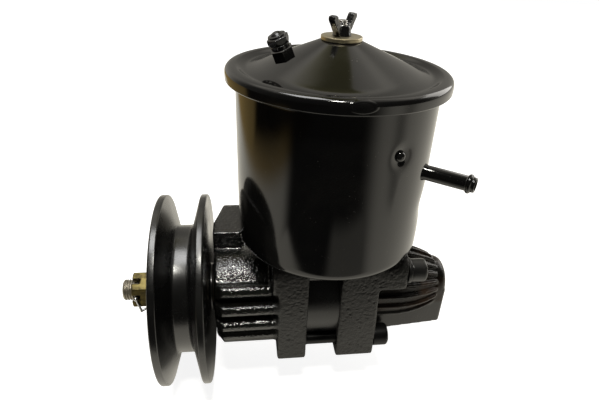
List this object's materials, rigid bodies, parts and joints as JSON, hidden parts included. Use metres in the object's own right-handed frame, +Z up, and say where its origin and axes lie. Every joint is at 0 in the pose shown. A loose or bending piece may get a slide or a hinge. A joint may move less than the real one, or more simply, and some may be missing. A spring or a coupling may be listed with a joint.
{
  "type": "power steering pump",
  "caption": "Belt-driven power steering pump: finned castings clamped around a rotor ring, a V-belt pulley on a keyed shaft, and a round black oil reservoir with a conical lid.",
  "frame": {"origin": "centre of the four foot holes on the foot plane, under the reservoir axis", "axes": "+X along the shaft from the pulley to the rear, +Z up through the reservoir"},
  "size_m": [0.2622, 0.15, 0.2839],
  "materials": {
    "casting_front": "black paint over rough sand casting",
    "casting_rear": "black paint over finned casting",
    "ring_steel": "satin black machined ring",
    "screw_black": "black oxide",
    "steel": "ground steel",
    "thread_steel": "bright cut thread",
    "zinc_yellow": "yellow zinc plating",
    "rubber_black": "moulded rubber",
    "bush_bronze": "sintered bronze",
    "cage_brass": "pressed brass",
    "copper_washer": "soft copper washer",
    "pulley_paint": "satin black paint",
    "can_paint": "gloss black paint",
    "gasket_paper": "oiled gasket board",
    "filter_mesh": "pleated filter cloth",
    "fitting_black": "gloss black paint"
  },
  "bodies": {
    "pump_body": {"front_housing": "casting_front", "rotor_ring": "ring_steel", "rear_cover": "casting_rear", "clamp_screws": "screw_black", "spring_washers": "screw_black", "ring_seals": "rubber_black", "bearing_outer_race": "steel", "housing_snap_ring": "steel", "oil_seal": "rubber_black", "rear_bush": "bush_bronze", "flow_valve_spring": "steel", "flow_valve_plug": "screw_black", "plug_washer": "copper_washer", "reservoir_gasket": "gasket_paper", "reservoir_can": "can_paint", "return_pipe": "fitting_black", "side_plug": "fitting_black", "filter_plate": "steel", "reservoir_bolts": "steel", "lid_stud": "thread_steel", "filter_element": "filter_mesh", "filter_cap": "steel", "filter_spring": "steel", "filter_nut": "steel"},
    "drive_shaft": {"drive_shaft": "thread_steel", "pulley": "pulley_paint", "pulley_key": "steel", "pulley_washer": "zinc_yellow", "castle_nut": "zinc_yellow", "cotter_pin": "steel", "bearing_inner_race": "steel", "shaft_snap_ring": "steel", "inner_rotor": "steel", "rotor_key": "steel"},
    "bearing_cage": {"bearing_balls": "steel", "bearing_cage": "cage_brass"},
    "outer_rotor": {"outer_rotor": "steel"},
    "flow_valve": {"flow_valve_spool": "steel"},
    "lid": {"lid": "can_paint", "lid_gasket": "rubber_black", "lid_washer": "zinc_yellow", "breather_body": "fitting_black", "breather_cap": "fitting_black"},
    "wing_nut": {"wing_nut": "fitting_black"}
  },
  "joints": [
    {"name": "shaft_spin", "type": "hinge", "parent": "pump_body", "child": "drive_shaft", "pos_m": [0, 0, 0.044], "axis": [1, 0, 0], "continuous": true},
    {"name": "cage_spin", "type": "hinge", "parent": "pump_body", "child": "bearing_cage", "pos_m": [-0.0765, 0, 0.044], "axis": [1, 0, 0], "continuous": true},
    {"name": "outer_rotor_spin", "type": "hinge", "parent": "pump_body", "child": "outer_rotor", "pos_m": [-0.00545, 0.0028, 0.044], "axis": [1, 0, 0], "continuous": true},
    {"name": "flow_valve_slide", "type": "slide", "parent": "pump_body", "child": "flow_valve", "axis": [1, 0, 0], "range_m": [0, 0.006], "stiffness_N_per_m": 4000, "springref_m": -0.004, "deforming": ["flow_valve_spring"]},
    {"name": "lid_lift", "type": "slide", "parent": "pump_body", "child": "lid", "axis": [0, 0, 1], "range_m": [0, 0.08]},
    {"name": "wing_nut_turn", "type": "hinge", "parent": "lid", "child": "wing_nut", "pos_m": [0, 0, 0.24], "axis": [0, 0, 1], "continuous": true}
  ],
  "couplings": [
    {"joint": "outer_rotor_spin", "follows": "shaft_spin", "ratio": 0.85714},
    {"joint": "cage_spin", "follows": "shaft_spin", "ratio": 0.39583}
  ]
}
